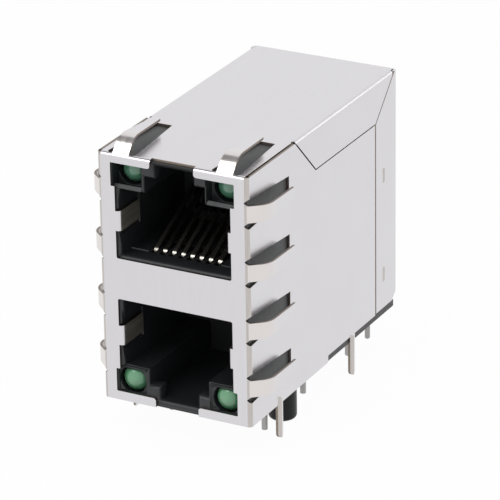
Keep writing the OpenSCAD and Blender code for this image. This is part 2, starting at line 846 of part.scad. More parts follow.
// Moulded insert that carries the contacts of one port, its comb and the board behind it
module insert() {
    slot_low_v = contact_leg_v - 0.2;
    slot_top_v = insert_top_v + 1;
    difference() {
        union() {
            span([-insert_x, insert_front_y, plate_t / 2], [insert_x, insert_back_y, insert_top_v]);
            span([-insert_x, comb_y0, insert_top_v - eps], [insert_x, pocket_y0, comb_v1]);
            span([-insert_x, insert_back_y - eps, plate_t / 2],
                 [insert_x, board_shoulder_y + eps, board_low_v]);
            span([-module_x, board_shoulder_y, plate_t / 2], [module_x, lower_board_y1, board_low_v]);
        }
        for (i = [1 : contact_count]) translate([contact_x(i), 0, 0]) {
            span([-contact_w / 2, 0, contact_leg_v],
                 [contact_w / 2, insert_back_y + 1, contact_leg_v + contact_t]);
            span([-comb_slot_w / 2, 0, slot_low_v], [comb_slot_w / 2, contact_slot_y1, slot_top_v]);
            span([-comb_slot_w / 2, 0, slot_top_v],
                 [comb_slot_w / 2, comb_slot_y1, comb_v1 - comb_bar]);
        }
    }
}

module upper_insert() {
    color([0.13, 0.13, 0.14]) upper_port() insert();
}

module lower_insert() {
    color([0.13, 0.13, 0.14]) lower_port() insert();
}

// Contact wire: solder tail, leg, front bend, sprung leg and turned-down tip
module contact(i) {
    bend = [contact_bend_y, contact_leg_v + contact_bend_r];
    top = bend + contact_bend_r * [-sin(contact_angle), cos(contact_angle)];
    rise = (contact_tip_y - top.x) / cos(contact_angle);
    tip = top + rise * [cos(contact_angle), sin(contact_angle)];
    tip_centre = tip + contact_tip_r * [sin(contact_angle), -cos(contact_angle)];
    color([0.86, 0.78, 0.55])
        along_x(contact_x(i) - contact_w / 2, contact_x(i) + contact_w / 2) {
            translate([bend.x - eps, contact_leg_v])
                square([contact_tail_y - bend.x, contact_t]);
            translate(bend) bent_strip(contact_bend_r, contact_t, 180 - 1, 270);
            translate(bend) bent_strip(contact_bend_r, contact_t, 90 + contact_angle, 180);
            translate(top) rotate(contact_angle)
                translate([-eps, -contact_t]) square([rise + 2 * eps, contact_t]);
            translate(tip_centre)
                bent_strip(contact_tip_r, contact_t, 90 + contact_angle - contact_tip_turn,
                           90 + contact_angle);
        }
}

// Ground plate between the two inserts
module centre_plate() {
    color([0.75, 0.75, 0.76]) {
        span([-insert_x, insert_front_y, mid_z - plate_t / 2],
             [insert_x, board_shoulder_y + eps, mid_z + plate_t / 2]);
        span([-module_x, board_shoulder_y, mid_z - plate_t / 2],
             [module_x, lower_board_y1, mid_z + plate_t / 2]);
    }
}

// Circuit board of one port, with holes for the pins that reach it
module board(end_y, rows) {
    difference() {
        union() {
            span([-insert_x, board_y0, board_low_v], [insert_x, board_shoulder_y + eps, board_top_v]);
            span([-module_x, board_shoulder_y, board_low_v], [module_x, end_y, board_top_v]);
        }
        for (row = rows) at_pins(row)
            translate([0, 0, -mid_z]) cylinder(h = 2 * mid_z, r = pin_hole_r);
    }
}

module upper_board() {
    color([0.1, 0.35, 0.2]) upper_port() board(upper_board_y1, [2]);
}

module lower_board() {
    color([0.1, 0.35, 0.2]) lower_port() board(lower_board_y1, [0, 1]);
}

// Transformers

// Case with one compartment for each wound core, open towards its board
module coil_case() {
    inner_w = coil_pitch - coil_case_wall;
    difference() {
        span([-module_x, coil_case_y0, board_top_v], [module_x, coil_case_y1, coil_case_v1]);
        for (i = [0 : coil_count - 1])
            translate([coil_x(i), 0, 0])
                span([-inner_w / 2, coil_case_y0 + coil_case_wall, 0],
                     [inner_w / 2, coil_case_y1 - coil_case_wall, coil_case_v1 - coil_case_wall]);
    }
}

function coil_x(i) = (i - (coil_count - 1) / 2) * coil_pitch;

module upper_coil_case() {
    color([0.2, 0.2, 0.22]) upper_port() coil_case();
}

module lower_coil_case() {
    color([0.2, 0.2, 0.22]) lower_port() coil_case();
}

// Places a coil with its axis along Y, on the board for the upper port
// and on the floor of the case for the lower port
module at_coil(i) {
    upper = i <= coil_count;
    x = coil_x(upper ? i - 1 : i - 1 - coil_count);
    upper_z = mid_z + board_top_v + coil_r + coil_gap;
    lower_z = base_t + coil_case_wall + coil_r + coil_gap;
    translate([x, coil_y, upper ? upper_z : lower_z]) rotate([90, 0, 0]) children();
}

// Bare ferrite ring
module core(i) {
    half = coil_l / 2 - winding_t;
    color([0.25, 0.24, 0.23]) at_coil(i) difference() {
        cylinder(h = 2 * half, r = coil_r - winding_t, center = true);
        cylinder(h = coil_l, r = core_bore_r, center = true);
    }
}

// Wire wound around the ring, with an open sector between its two ends
module winding(i) {
    half = coil_l / 2 - winding_t;
    wound = 300;
    color([0.75, 0.4, 0.2]) at_coil(i) rotate([0, 0, 120])
        rotate_extrude(angle = wound) difference() {
            translate([core_bore_r - winding_t, -half - winding_t])
                square([coil_r - core_bore_r + winding_t, coil_l]);
            translate([core_bore_r, -half]) square([coil_r - winding_t - core_bore_r, 2 * half]);
        }
}

// Chip on a board, with the middle of its front edge at the given place
module chip(x, size) {
    span([x - size.x / 2, chip_y, board_top_v],
         [x + size.x / 2, chip_y + size.y, board_top_v + size.z]);
}

module resistors() {
    for (i = [0 : coil_count - 1]) chip(coil_x(i), [resistor_l, resistor_w, resistor_h]);
}

module capacitor() {
    chip(0, [capacitor_l, capacitor_w, capacitor_h]);
}

module upper_resistors() {
    color([0.15, 0.15, 0.16]) upper_port() resistors();
}

module lower_resistors() {
    color([0.15, 0.15, 0.16]) lower_port() resistors();
}

module upper_capacitor() {
    color([0.7, 0.6, 0.45]) upper_port() capacitor();
}

module lower_capacitor() {
    color([0.7, 0.6, 0.45]) lower_port() capacitor();
}

// Lights

// Round light with a shallow domed front, for the upper right corner of a port
module light(front_y) {
    rim = 0.35;
    dome = 0.25;
    dome_r = ((light_r - rim) * (light_r - rim) + dome * dome) / (2 * dome);
    translate([light_x, 0, light_v]) rotate([-90, 0, 0]) rotate_extrude() {
        difference() {
            union() {
                translate([0, front_y + rim]) square([light_r, light_y1 - front_y - rim]);
                translate([0, front_y]) square([light_r - rim, rim + eps]);
                translate([light_r - rim, front_y + rim]) circle(rim);
            }
            translate([-light_r, 0]) square([light_r, light_y1 + 1]);
        }
        intersection() {
            translate([0, front_y - dome + dome_r]) circle(dome_r);
            translate([0, front_y - dome]) square([light_r - rim, dome + eps]);
        }
    }
}

// Lead that runs back from a light, turns down and passes the board
module lead(x, y, level) {
    turn_r = lead_turn_r;
    translate([x, light_y1, level]) rotate([-90, 0, 0])
        cylinder(h = y - turn_r - light_y1, r = lead_r);
    translate([x, y - turn_r, level - turn_r]) rotate([0, -90, 0])
        rotate_extrude(angle = 90) translate([turn_r, 0]) circle(lead_r);
    translate([x, y, -pin_l]) cylinder(h = level - turn_r + pin_l, r = lead_r);
}

module upper_leads() {
    for (s = [-1, 1])
        lead(light_x + s * upper_lead_pitch / 2, upper_lead_y, mid_z + light_v);
}

module lower_leads() {
    for (s = [-1, 1])
        lead(light_x + s * lower_lead_pitch / 2, lower_lead_y, mid_z - light_v);
}

// Signal pins

// Places something at each pin of a row; every second row has one pin less
module at_pins(row) {
    count = row == 1 ? 5 : 6;
    for (i = [0 : count - 1])
        translate([(i - (count - 1) / 2) * pin_pitch, pin_row_y + row * pin_row_pitch, 0])
            children();
}

module pin_row(row) {
    tip = 0.15;
    top = row == 2 ? mid_z + board_top_v + pin_end_h : mid_z - board_low_v - eps;
    color([0.8, 0.8, 0.8]) at_pins(row) {
        translate([0, 0, -pin_l + tip]) cylinder(h = top + pin_l - tip, r = pin_r);
        translate([0, 0, -pin_l]) cylinder(h = tip, r1 = pin_r - tip, r2 = pin_r);
    }
}

// Moves the model from the front face to the origin between the pegs
module placed() {
    translate([0, -peg_y, 0]) children();
}

placed() front_shield();
placed() rear_shield();
placed() housing();
placed() base_plate();
placed() upper_insert();
placed() lower_insert();
placed() centre_plate();
placed() upper_board();
placed() lower_board();
placed() upper_coil_case();
placed() lower_coil_case();
for (i = [1 : contact_count]) {
    placed() upper_port() contact(i);
    placed() lower_port() contact(i);
}
placed() color([0.3, 0.6, 0.4]) upper_port() light(upper_light_y0);  // upper_right_light
placed() color([0.3, 0.6, 0.4]) mirror([1, 0, 0]) upper_port() light(upper_light_y0);  // upper_left_light
placed() color([0.4, 0.8, 0.5]) lower_port() light(lower_light_y0);  // lower_right_light
placed() color([0.4, 0.8, 0.5]) mirror([1, 0, 0]) lower_port() light(lower_light_y0);  // lower_left_light
placed() color([0.8, 0.8, 0.8]) upper_leads();  // upper_right_leads
placed() color([0.8, 0.8, 0.8]) mirror([1, 0, 0]) upper_leads();  // upper_left_leads
placed() color([0.8, 0.8, 0.8]) lower_leads();  // lower_right_leads
placed() color([0.8, 0.8, 0.8]) mirror([1, 0, 0]) lower_leads();  // lower_left_leads
for (i = [1 : 2 * coil_count]) {
    placed() core(i);
    placed() winding(i);
}
placed() pin_row(0);  // pin_row_1
placed() pin_row(1);  // pin_row_2
placed() pin_row(2);  // pin_row_3
placed() upper_resistors();
placed() lower_resistors();
placed() upper_capacitor();
placed() lower_capacitor();
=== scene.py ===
import math

import bmesh
import bpy
from mathutils import Matrix, Vector


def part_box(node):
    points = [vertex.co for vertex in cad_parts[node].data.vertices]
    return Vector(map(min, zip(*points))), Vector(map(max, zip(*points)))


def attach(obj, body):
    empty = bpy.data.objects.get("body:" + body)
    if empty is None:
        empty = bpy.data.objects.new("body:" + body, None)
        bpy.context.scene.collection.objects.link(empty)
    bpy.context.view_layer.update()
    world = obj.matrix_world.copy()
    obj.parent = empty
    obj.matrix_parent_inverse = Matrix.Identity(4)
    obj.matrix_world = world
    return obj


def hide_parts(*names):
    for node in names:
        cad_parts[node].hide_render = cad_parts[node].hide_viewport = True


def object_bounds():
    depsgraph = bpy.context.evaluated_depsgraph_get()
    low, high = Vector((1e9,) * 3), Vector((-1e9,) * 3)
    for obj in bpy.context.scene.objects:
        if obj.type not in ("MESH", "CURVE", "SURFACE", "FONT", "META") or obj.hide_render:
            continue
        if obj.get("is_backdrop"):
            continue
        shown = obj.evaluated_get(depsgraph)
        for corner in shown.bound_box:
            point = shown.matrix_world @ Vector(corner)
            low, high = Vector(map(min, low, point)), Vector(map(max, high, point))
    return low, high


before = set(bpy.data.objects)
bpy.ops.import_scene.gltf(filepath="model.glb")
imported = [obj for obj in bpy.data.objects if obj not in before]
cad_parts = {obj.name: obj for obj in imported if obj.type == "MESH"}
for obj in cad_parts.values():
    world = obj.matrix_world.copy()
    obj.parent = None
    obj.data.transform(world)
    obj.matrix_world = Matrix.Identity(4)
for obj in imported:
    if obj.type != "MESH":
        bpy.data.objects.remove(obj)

cad_low, cad_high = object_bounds()

# Front cover of the shield.
# One piece of nickel-plated bronze sheet, blanked, lanced for the contact fingers
# and folded round the housing from the front. Its sheared edges show the bare bronze.
MM = 0.001
sheet_t = 0.25 * MM
body_w = 16.5 * MM
body_top = 26.35 * MM
fold_r = 0.45 * MM
# Length of the rear cover's side strips and depth of the studs pressed into them
strip_d = 5.1 * MM
stud_d = 0.12 * MM
# The board tabs are creased up to this height
crease_top = 1.05 * MM
# Where the ground tabs stand in the ports: how far from the middle, and how far in
# from the front, the foot and the top of the part
port_half_w = 6.25 * MM
tab_reach = 4 * MM
tab_clear = 5 * MM
roof_clear = 2.2 * MM
# Finishes of a cover in their order on its mesh, after the plain plating: bare bronze on the cut
# edges, a painted reflection, a painted shade, and the bowed fingers with a warm painted
# reflection near the root
SHEARED, PAINTED_REFLECTION, PAINTED_SHADE, BOWED = 1, 2, 3, 4


def new_finish(name):
    """A material with its shader, its node list and its links."""
    material = bpy.data.materials.new(name)
    material.use_nodes = True
    tree = material.node_tree
    return material, tree.nodes["Principled BSDF"], tree.nodes, tree.links


def grain(nodes, links, scale, stretch=(1, 1, 1)):
    """Noise on the piece's own coordinates, drawn out along some axes."""
    place = nodes.new("ShaderNodeTexCoord")
    turn = nodes.new("ShaderNodeMapping")
    turn.inputs["Scale"].default_value = stretch
    noise = nodes.new("ShaderNodeTexNoise")
    noise.inputs["Scale"].default_value = scale
    noise.inputs["Detail"].default_value = 4.0
    links.new(place.outputs["Object"], turn.inputs["Vector"])
    links.new(turn.outputs["Vector"], noise.inputs["Vector"])
    return noise.outputs["Fac"]


def spread(nodes, links, value, low, high):
    """Maps the middle range of a noise to a range of its own."""
    reach = nodes.new("ShaderNodeMapRange")
    reach.inputs["From Min"].default_value = 0.3
    reach.inputs["From Max"].default_value = 0.7
    reach.inputs["To Min"].default_value = low
    reach.inputs["To Max"].default_value = high
    links.new(value, reach.inputs["Value"])
    return reach.outputs["Result"]


def relief(nodes, links, shader, value, strength, distance):
    """Fine relief of the surface."""
    bump = nodes.new("ShaderNodeBump")
    bump.inputs["Strength"].default_value = strength
    bump.inputs["Distance"].default_value = distance
    links.new(value, bump.inputs["Height"])
    links.new(bump.outputs["Normal"], shader.inputs["Normal"])


def two_tone(nodes, links, shader, value, first, second, start=0.35, end=0.65):
    """Blends two close colours over the surface."""
    ramp = nodes.new("ShaderNodeValToRGB")
    ramp.color_ramp.elements[0].position = start
    ramp.color_ramp.elements[0].color = (*first, 1)
    ramp.color_ramp.elements[1].position = end
    ramp.color_ramp.elements[1].color = (*second, 1)
    links.new(value, ramp.inputs["Fac"])
    links.new(ramp.outputs["Color"], shader.inputs["Base Color"])


def worked_metal(name, scale, tones, roughness, stretch=(1, 1, 1), marks=None, metallic=1.0):
    """Metal whose colour, gloss and relief follow the marks of its tool."""
    metal, shader, nodes, links = new_finish(name)
    shader.inputs["Metallic"].default_value = metallic
    tool_marks = grain(nodes, links, scale, stretch)
    two_tone(nodes, links, shader, tool_marks, *tones)
    links.new(spread(nodes, links, tool_marks, *roughness), shader.inputs["Roughness"])
    if marks:
        relief(nodes, links, shader, tool_marks, *marks)
    return metal


def merged_form(node):
    """Copy of a CAD node with its loose triangles joined into whole faces."""
    form = bmesh.new()
    form.from_mesh(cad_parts[node].data)
    bmesh.ops.remove_doubles(form, verts=form.verts, dist=0.001 * MM)
    bmesh.ops.dissolve_limit(
        form, angle_limit=math.radians(0.5), verts=form.verts, edges=form.edges)
    return form


def mark_painted_sheet(form, low, high):
    """Painted reflection on the folds, studs, creases and bowed fingers, and painted shade on
    the ground tabs in the ports.
    """
    half = body_w / 2
    slant, least_slope, most_slope = 0.15, 0.5, 0.995
    proud = 0.02 * MM
    for face in form.faces:
        place, out = face.calc_center_median(), face.normal
        across = abs(place.x)
        if place.y < low.y + fold_r and half - fold_r < across <= half:
            # Fold at the side of the front panel, with a painted warm reflection
            if abs(out.x) > slant and abs(out.y) > slant:
                face.material_index = PAINTED_REFLECTION
        elif place.y > high.y - fold_r - strip_d and half - stud_d < across < half:
            # Slope of a stud in a side strip, with a painted reflection
            if least_slope < abs(out.x) < most_slope and place.y < high.y - 2 * fold_r:
                face.material_index = PAINTED_REFLECTION
        elif place.z < crease_top and across > half:
            # Front slope of a crease in a board tab, with a painted reflection
            if out.y < -0.1:
                face.material_index = PAINTED_REFLECTION
        # A finger bowed out of the panel, with a warm reflection painted near its root
        elif across > half + proud or place.z > body_top + proud:
            face.material_index = BOWED
        elif across < port_half_w and low.y + 1.05 * sheet_t < place.y < low.y + tab_reach:
            # Ground tab inside a port, painted dark as the shade in the port
            if low.z + tab_clear < place.z < high.z - roof_clear:
                face.material_index = PAINTED_SHADE


def mark_sheared_edges(form, bend_limit):
    """Sheared finish of the smooth patches that are only as wide as the sheet."""
    for edge in form.edges:
        edge.smooth = edge.calc_face_angle(0.0) < bend_limit
    waiting = set(form.faces)
    while waiting:
        patch = {waiting.pop()}
        growing = list(patch)
        rim = 0.0
        while growing:
            face = growing.pop()
            for edge in face.edges:
                if edge.calc_face_angle(math.pi) > bend_limit:
                    rim += edge.calc_length()
                    continue
                for other in edge.link_faces:
                    if other in waiting:
                        waiting.remove(other)
                        patch.add(other)
                        growing.append(other)
        width = 2 * sum(face.calc_area() for face in patch) / max(rim, MM)
        if width < 1.08 * sheet_t:
            for face in patch:
                place = face.calc_center_median()
                on_crease = place.z < crease_top and abs(place.x) > body_w / 2
                on_top = place.z > body_top - sheet_t and face.normal.z > 0.5 and place.y > 0
                if not on_crease and not on_top:
                    face.material_index = SHEARED


def ease_outer_edges(form, width):
    """Sheared bevel along the long edges of the panels, where two panels meet at a seam."""
    shortest, least_turn, touch = 4 * MM, math.radians(60), 0.002 * MM
    long_edges = []
    for edge in form.edges:
        if edge.calc_length() < shortest or edge.calc_face_angle(0.0) < least_turn:
            continue
        on_side = all(abs(abs(v.co.x) - body_w / 2) < touch for v in edge.verts)
        on_top = all(abs(v.co.z - body_top) < touch for v in edge.verts)
        if on_side or on_top:
            long_edges.append(edge)
    bmesh.ops.bevel(
        form, geom=long_edges, offset=width, offset_type="OFFSET", segments=1, profile=0.5,
        affect="EDGES", material=SHEARED, clamp_overlap=True,
    )


def flat_faces(piece):
    """Keeps the shading of the flats straight beside the smooth bends."""
    flat = piece.modifiers.new("flat_faces", "WEIGHTED_NORMAL")
    flat.mode = "FACE_AREA"
    flat.weight = 100
    flat.keep_sharp = True


def settle(piece):
    """Applies the piece's modifiers to its mesh."""
    shown = piece.evaluated_get(bpy.context.evaluated_depsgraph_get())
    result = bpy.data.meshes.new_from_object(shown)
    piece.modifiers.clear()
    piece.data = result
    result.name = piece.name


def new_piece(name, form, *finishes):
    """Object with its place in its mesh, smooth across its bends."""
    mesh = bpy.data.meshes.new(name)
    form.to_mesh(mesh)
    form.free()
    for finish in finishes:
        mesh.materials.append(finish)
    mesh.shade_smooth()
    piece = bpy.data.objects.new(name, mesh)
    bpy.context.scene.collection.objects.link(piece)
    return piece


def stand_for(piece, node):
    """The piece rides on the body and takes the place of a CAD node."""
    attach(piece, "root")
    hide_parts(node)


rolled = (1, 0.08, 0.08)
nickel = worked_metal(
    "nickel_plated_sheet", 2500, ((0.676, 0.663, 0.686), (0.690, 0.677, 0.700)),
    (0.22, 0.25), stretch=rolled, marks=(0.02, 0.01 * MM))
sheared = worked_metal(
    "sheared_bronze", 6000, ((0.20, 0.165, 0.14), (0.30, 0.255, 0.22)),
    (0.34, 0.5), marks=(0.1, 0.005 * MM))
# Darker, warmer tone of the folds, stud slopes and crease slopes: a painted reflection
painted_reflection = worked_metal(
    "plating_painted_reflection", 3000, ((0.52, 0.487, 0.46), (0.57, 0.537, 0.51)),
    (0.24, 0.32), stretch=(1, 1, 0.1))
# Dull dark tone of the ground tabs in the ports: painted shade
painted_port_shade = worked_metal(
    "plating_painted_shade", 2600, ((0.30, 0.28, 0.24), (0.38, 0.355, 0.31)),
    (0.42, 0.55), stretch=(1, 0.1, 1), marks=(0.06, 0.005 * MM), metallic=0.8)

# A warm reflection is painted on each finger where it leaves the panel, fading to the plain
# plating further back
warm_until, plain_from = -9.6 * MM, -6.4 * MM
bowed_warm_reflection, shader, nodes, links = new_finish("bowed_plating_painted_reflection")
shader.inputs["Metallic"].default_value = 1.0
place = nodes.new("ShaderNodeTexCoord")
parts = nodes.new("ShaderNodeSeparateXYZ")
links.new(place.outputs["Object"], parts.inputs["Vector"])
towards_tip = nodes.new("ShaderNodeMapRange")
towards_tip.inputs["From Min"].default_value = warm_until
towards_tip.inputs["From Max"].default_value = plain_from
links.new(parts.outputs["Y"], towards_tip.inputs["Value"])
two_tone(
    nodes, links, shader, towards_tip.outputs["Result"],
    (0.745, 0.705, 0.685), (0.683, 0.670, 0.690), start=0.0, end=1.0,
)
rolling = grain(nodes, links, 2500, stretch=rolled)
links.new(spread(nodes, links, rolling, 0.20, 0.25), shader.inputs["Roughness"])


def sheet_piece(name, node):
    """Shield piece with bare bronze on its cut edges, painted reflection on its folds, studs,
    creases and fingers, and painted shade on its ground tabs.
    """
    form = merged_form(node)
    mark_painted_sheet(form, cad_low, cad_high)
    mark_sheared_edges(form, bend_limit=math.radians(20))
    ease_outer_edges(form, width=0.13 * MM)
    piece = new_piece(name, form, nickel, sheared, painted_reflection, painted_port_shade, bowed_warm_reflection)
    flat_faces(piece)
    settle(piece)
    stand_for(piece, node)


sheet_piece("front_cover", "front_shield")

# Rear cover of the shield.
# A second folded piece of the same sheet, pushed on from the rear and held
# by two small studs on each side strip.
sheet_piece("rear_cover", "rear_shield")


# Housing with both plug cavities.
# Moulded in black glass-filled plastic, with the spark-eroded texture of its mould
# and two locating pegs under it.
def moulded_plastic(name, texture, mottle, tones, roughness, depth, specular=0.5):
    """Plastic with the texture of its mould and a faint mottle in its colour."""
    plastic, shader, nodes, links = new_finish(name)
    mould = grain(nodes, links, texture)
    two_tone(nodes, links, shader, grain(nodes, links, mottle), *tones)
    shader.inputs["Specular IOR Level"].default_value = specular
    links.new(spread(nodes, links, mould, *roughness), shader.inputs["Roughness"])
    relief(nodes, links, shader, mould, depth, 0.01 * MM)
    return plastic


housing_plastic = moulded_plastic(
    "moulded_housing", 4000, 300, ((0.0128, 0.0142, 0.0160), (0.0170, 0.0188, 0.0212)),
    (0.40, 0.50), depth=0.12, specular=0.6)
# The pegs get a weaker gloss and a darker colour; the darker colour is painted shade from under
# the body
peg_painted_shade = moulded_plastic(
    "pegs_painted_shade", 5000, 300, ((0.0045, 0.0055, 0.0062), (0.0065, 0.0078, 0.0088)),
    (0.34, 0.42), depth=0.06, specular=0.25)
# The outer faces show through the slots of the shield and have a coarser texture; their lighter
# tone is painted light from the bright fingers above them
outer_painted_light = moulded_plastic(
    "outer_faces_painted_light", 3000, 300, ((0.058, 0.061, 0.063), (0.070, 0.073, 0.076)),
    (0.44, 0.56), depth=0.16, specular=0.6)

PEG, OUTER_FACE = 1, 2
peg_top = -0.02 * MM
outer_face_x, outer_face_z, facing = 7 * MM, 25 * MM, 0.9
housing_form = merged_form("housing")
for face in housing_form.faces:
    place, out = face.calc_center_median(), face.normal
    on_side = abs(place.x) > outer_face_x and abs(out.x) > facing
    on_roof = place.z > outer_face_z and out.z > facing
    if place.z < peg_top:
        face.material_index = PEG
    elif on_side or on_roof:
        face.material_index = OUTER_FACE

# Moulded lip with a slanted face in front of each light, just behind the front panel
lip_x0, lip_x1 = 3.57 * MM, 6.74 * MM
lip_v, lip_h, lip_depth = 9.50 * MM, 0.42 * MM, 0.35 * MM
port_split = body_top / 2
front_y = cad_low.y + 0.27 * MM
for side in (-1, 1):
    for rise in (-1, 1):
        ends = []
        for across in (lip_x0, lip_x1):
            x = side * across
            ends.append([
                housing_form.verts.new((x, front_y + back, port_split + rise * (lip_v + up)))
                for back, up in ((0, 0), (lip_depth, lip_h), (lip_depth, 0))
            ])
        near, far = ends
        faces = [housing_form.faces.new(near), housing_form.faces.new(far)]
        for k in range(3):
            faces.append(housing_form.faces.new((near[k], near[k - 2], far[k - 2], far[k])))
        bmesh.ops.recalc_face_normals(housing_form, faces=faces)

housing = new_piece(
    "moulded_housing", housing_form, housing_plastic, peg_painted_shade, outer_painted_light)
edge_break = housing.modifiers.new("edge_break", "BEVEL")
edge_break.width = 0.06 * MM
edge_break.segments = 1
edge_break.limit_method = "ANGLE"
edge_break.angle_limit = math.radians(50)
edge_break.use_clamp_overlap = False
flat_faces(housing)
settle(housing)
stand_for(housing, "housing")


# Base plate.
# Moulded in a greyer plastic and pushed in from below. Its edge shows under the side panels.
def dress(material, *names):
    """Gives CAD nodes their finish."""
    for name in names:
        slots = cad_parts[name].data.materials
        slots.clear()
        slots.append(material)


base_plastic = moulded_plastic(
    "base_plastic", 3500, 260, ((0.050, 0.050, 0.054), (0.064, 0.064, 0.069)),
    (0.42, 0.56), depth=0.15)
dress(base_plastic, "base_plate")

# Contact inserts.
# Moulded in black plastic round the contacts and pushed in from the rear.
insert_plastic = moulded_plastic(
    "insert_plastic", 3500, 260, ((0.007, 0.007, 0.008), (0.011, 0.011, 0.012)),
    (0.42, 0.56), depth=0.15)
dress(insert_plastic, "upper_insert", "lower_insert")

# Coil cases.
# Open boxes of black plastic with four compartments, pressed on the inner boards.
case_plastic = moulded_plastic(
    "case_plastic", 3000, 240, ((0.020, 0.020, 0.022), (0.030, 0.030, 0.033)),
    (0.45, 0.6), depth=0.2)
dress(case_plastic, "upper_coil_case", "lower_coil_case")

# Contacts.
# Formed spring wire of phosphor bronze, gold-plated over nickel and polished
# by the bending tool at the front bend.
contact_plating = worked_metal(
    "contact_plating", 1500, ((0.48, 0.455, 0.40), (0.56, 0.53, 0.47)),
    (0.22, 0.30), stretch=(1, 0.05, 0.05), marks=(0.05, 0.01 * MM))
for port in ("upper", "lower"):
    dress(contact_plating, *[f"{port}_contact_{i}" for i in range(1, 9)])


# Status lights.
# Round lenses of tinted clear epoxy, cast with a domed front, pushed into the
# corners of the housing.
def domed_light(low, high, dome_depth):
    """Solid of revolution about an axis along the depth, from the box of the light."""
    steps, rings, back_edge = 64, 14, 0.12 * MM
    radius = (high.x - low.x) / 2
    centre = (low + high) / 2
    profile = []
    for i in range(1, rings + 1):
        slope = math.pi / 2 * i / rings
        profile.append((radius * math.sin(slope), low.y + dome_depth * (1 - math.cos(slope))))
    profile += [(radius, high.y - back_edge), (radius - back_edge, high.y)]
    form = bmesh.new()
    share = form.verts.layers.float.new("from_axis")
    drop = form.verts.layers.float.new("from_top")
    tip = form.verts.new((centre.x, low.y, centre.z))
    tip[drop] = 0.5
    rows = []
    for reach, depth in profile:
        row = []
        for k in range(steps):
            angle = 2 * math.pi * k / steps
            point = form.verts.new((
                centre.x + reach * math.cos(angle), depth, centre.z + reach * math.sin(angle)))
            point[share] = reach / radius
            point[drop] = 0.5 - 0.5 * reach / radius * math.sin(angle)
            row.append(point)
        rows.append(row)
    for k in range(steps):
        form.faces.new((tip, rows[0][k], rows[0][(k + 1) % steps]))
        for near, far in zip(rows, rows[1:]):
            form.faces.new((near[k], far[k], far[(k + 1) % steps], near[(k + 1) % steps]))
    form.faces.new(rows[-1])
    bmesh.ops.recalc_face_normals(form, faces=form.faces)
    for edge in form.edges:
        edge.smooth = edge.calc_face_angle(0.0) < math.radians(30)
    return form


dome_depth = 1.25 * MM
# Painted light on the lenses: each port's copy of the epoxy has its own tones, the upper ones
# darker as if in shade, and the ramp from the axis paints a lit middle, a shaded ring and a
# highlight on the rim
for port, rim_highlight_tone, shaded_ring_tone, lit_middle_tone, foot_shade in (
    ("upper", (0.24, 0.50, 0.34), (0.18, 0.50, 0.30), (0.24, 0.56, 0.37), (0.60, 0.62, 0.62)),
    ("lower", (0.30, 0.54, 0.38), (0.18, 0.54, 0.28), (0.32, 0.72, 0.40), (0.36, 0.42, 0.42)),
):
    lens, shader, nodes, links = new_finish(f"{port}_epoxy")
    place = nodes.new("ShaderNodeAttribute")
    place.attribute_name = "from_axis"
    tint = nodes.new("ShaderNodeValToRGB")
    tint.color_ramp.elements[0].color = (*lit_middle_tone, 1)
    tint.color_ramp.elements[1].color = (*rim_highlight_tone, 1)
    tint.color_ramp.elements.new(0.75).color = (*shaded_ring_tone, 1)
    cloud = nodes.new("ShaderNodeMixRGB")
    cloud.blend_type = "MULTIPLY"
    cloud.inputs["Color2"].default_value = (0.8, 0.86, 0.82, 1)
    links.new(place.outputs["Fac"], tint.inputs["Fac"])
    links.new(tint.outputs["Color"], cloud.inputs["Color1"])
    links.new(grain(nodes, links, 700), cloud.inputs["Fac"])
    # Painted light and shade: the colour is bright at the top and darkened towards the foot
    height = nodes.new("ShaderNodeAttribute")
    height.attribute_name = "from_top"
    painted_top_light = nodes.new("ShaderNodeValToRGB")
    painted_top_light.color_ramp.elements[0].position = 0.2
    painted_top_light.color_ramp.elements[0].color = (1, 1, 1, 1)
    painted_top_light.color_ramp.elements[1].position = 0.9
    painted_top_light.color_ramp.elements[1].color = (*foot_shade, 1)
    through = nodes.new("ShaderNodeMixRGB")
    through.blend_type = "MULTIPLY"
    through.inputs["Fac"].default_value = 1.0
    links.new(height.outputs["Fac"], painted_top_light.inputs["Fac"])
    links.new(cloud.outputs["Color"], through.inputs["Color1"])
    links.new(painted_top_light.outputs["Color"], through.inputs["Color2"])
    links.new(through.outputs["Color"], shader.inputs["Base Color"])
    shader.inputs["IOR"].default_value = 1.52
    shader.inputs["Coat Weight"].default_value = 0.8
    shader.inputs["Coat Roughness"].default_value = 0.04
    shader.inputs["Transmission Weight"].default_value = 0.25
    shader.inputs["Subsurface Weight"].default_value = 0.2
    shader.inputs["Subsurface Radius"].default_value = (0.3, 1.0, 0.5)
    shader.inputs["Subsurface Scale"].default_value = 0.4 * MM
    polish = grain(nodes, links, 1200)
    links.new(spread(nodes, links, polish, 0.10, 0.16), shader.inputs["Roughness"])
    for side in ("left", "right"):
        node = f"{port}_{side}_light"
        form = domed_light(*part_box(node), dome_depth)
        stand_for(new_piece(f"{port}_{side}_lens", form, lens), node)

# Leads and signal pins.
# Tinned copper-clad wire, cut to length and slightly dull. The leads come down from
# the lights, and the pins stand in the block of the base plate.
tinned_wire = worked_metal(
    "tinned_wire", 1400, ((0.31, 0.30, 0.295), (0.39, 0.38, 0.37)),
    (0.24, 0.36), stretch=(1, 1, 0.06), marks=(0.08, 0.01 * MM))
for port in ("upper", "lower"):
    dress(tinned_wire, f"{port}_left_leads", f"{port}_right_leads")
dress(tinned_wire, "pin_row_1", "pin_row_2", "pin_row_3")

# Ground plate between the ports.
# A flat piece of plated sheet that lies between the two inserts.
ground_sheet = worked_metal(
    "ground_sheet", 800, ((0.56, 0.55, 0.54), (0.64, 0.63, 0.62)),
    (0.25, 0.4), stretch=(0.08, 1, 1))
dress(ground_sheet, "centre_plate")

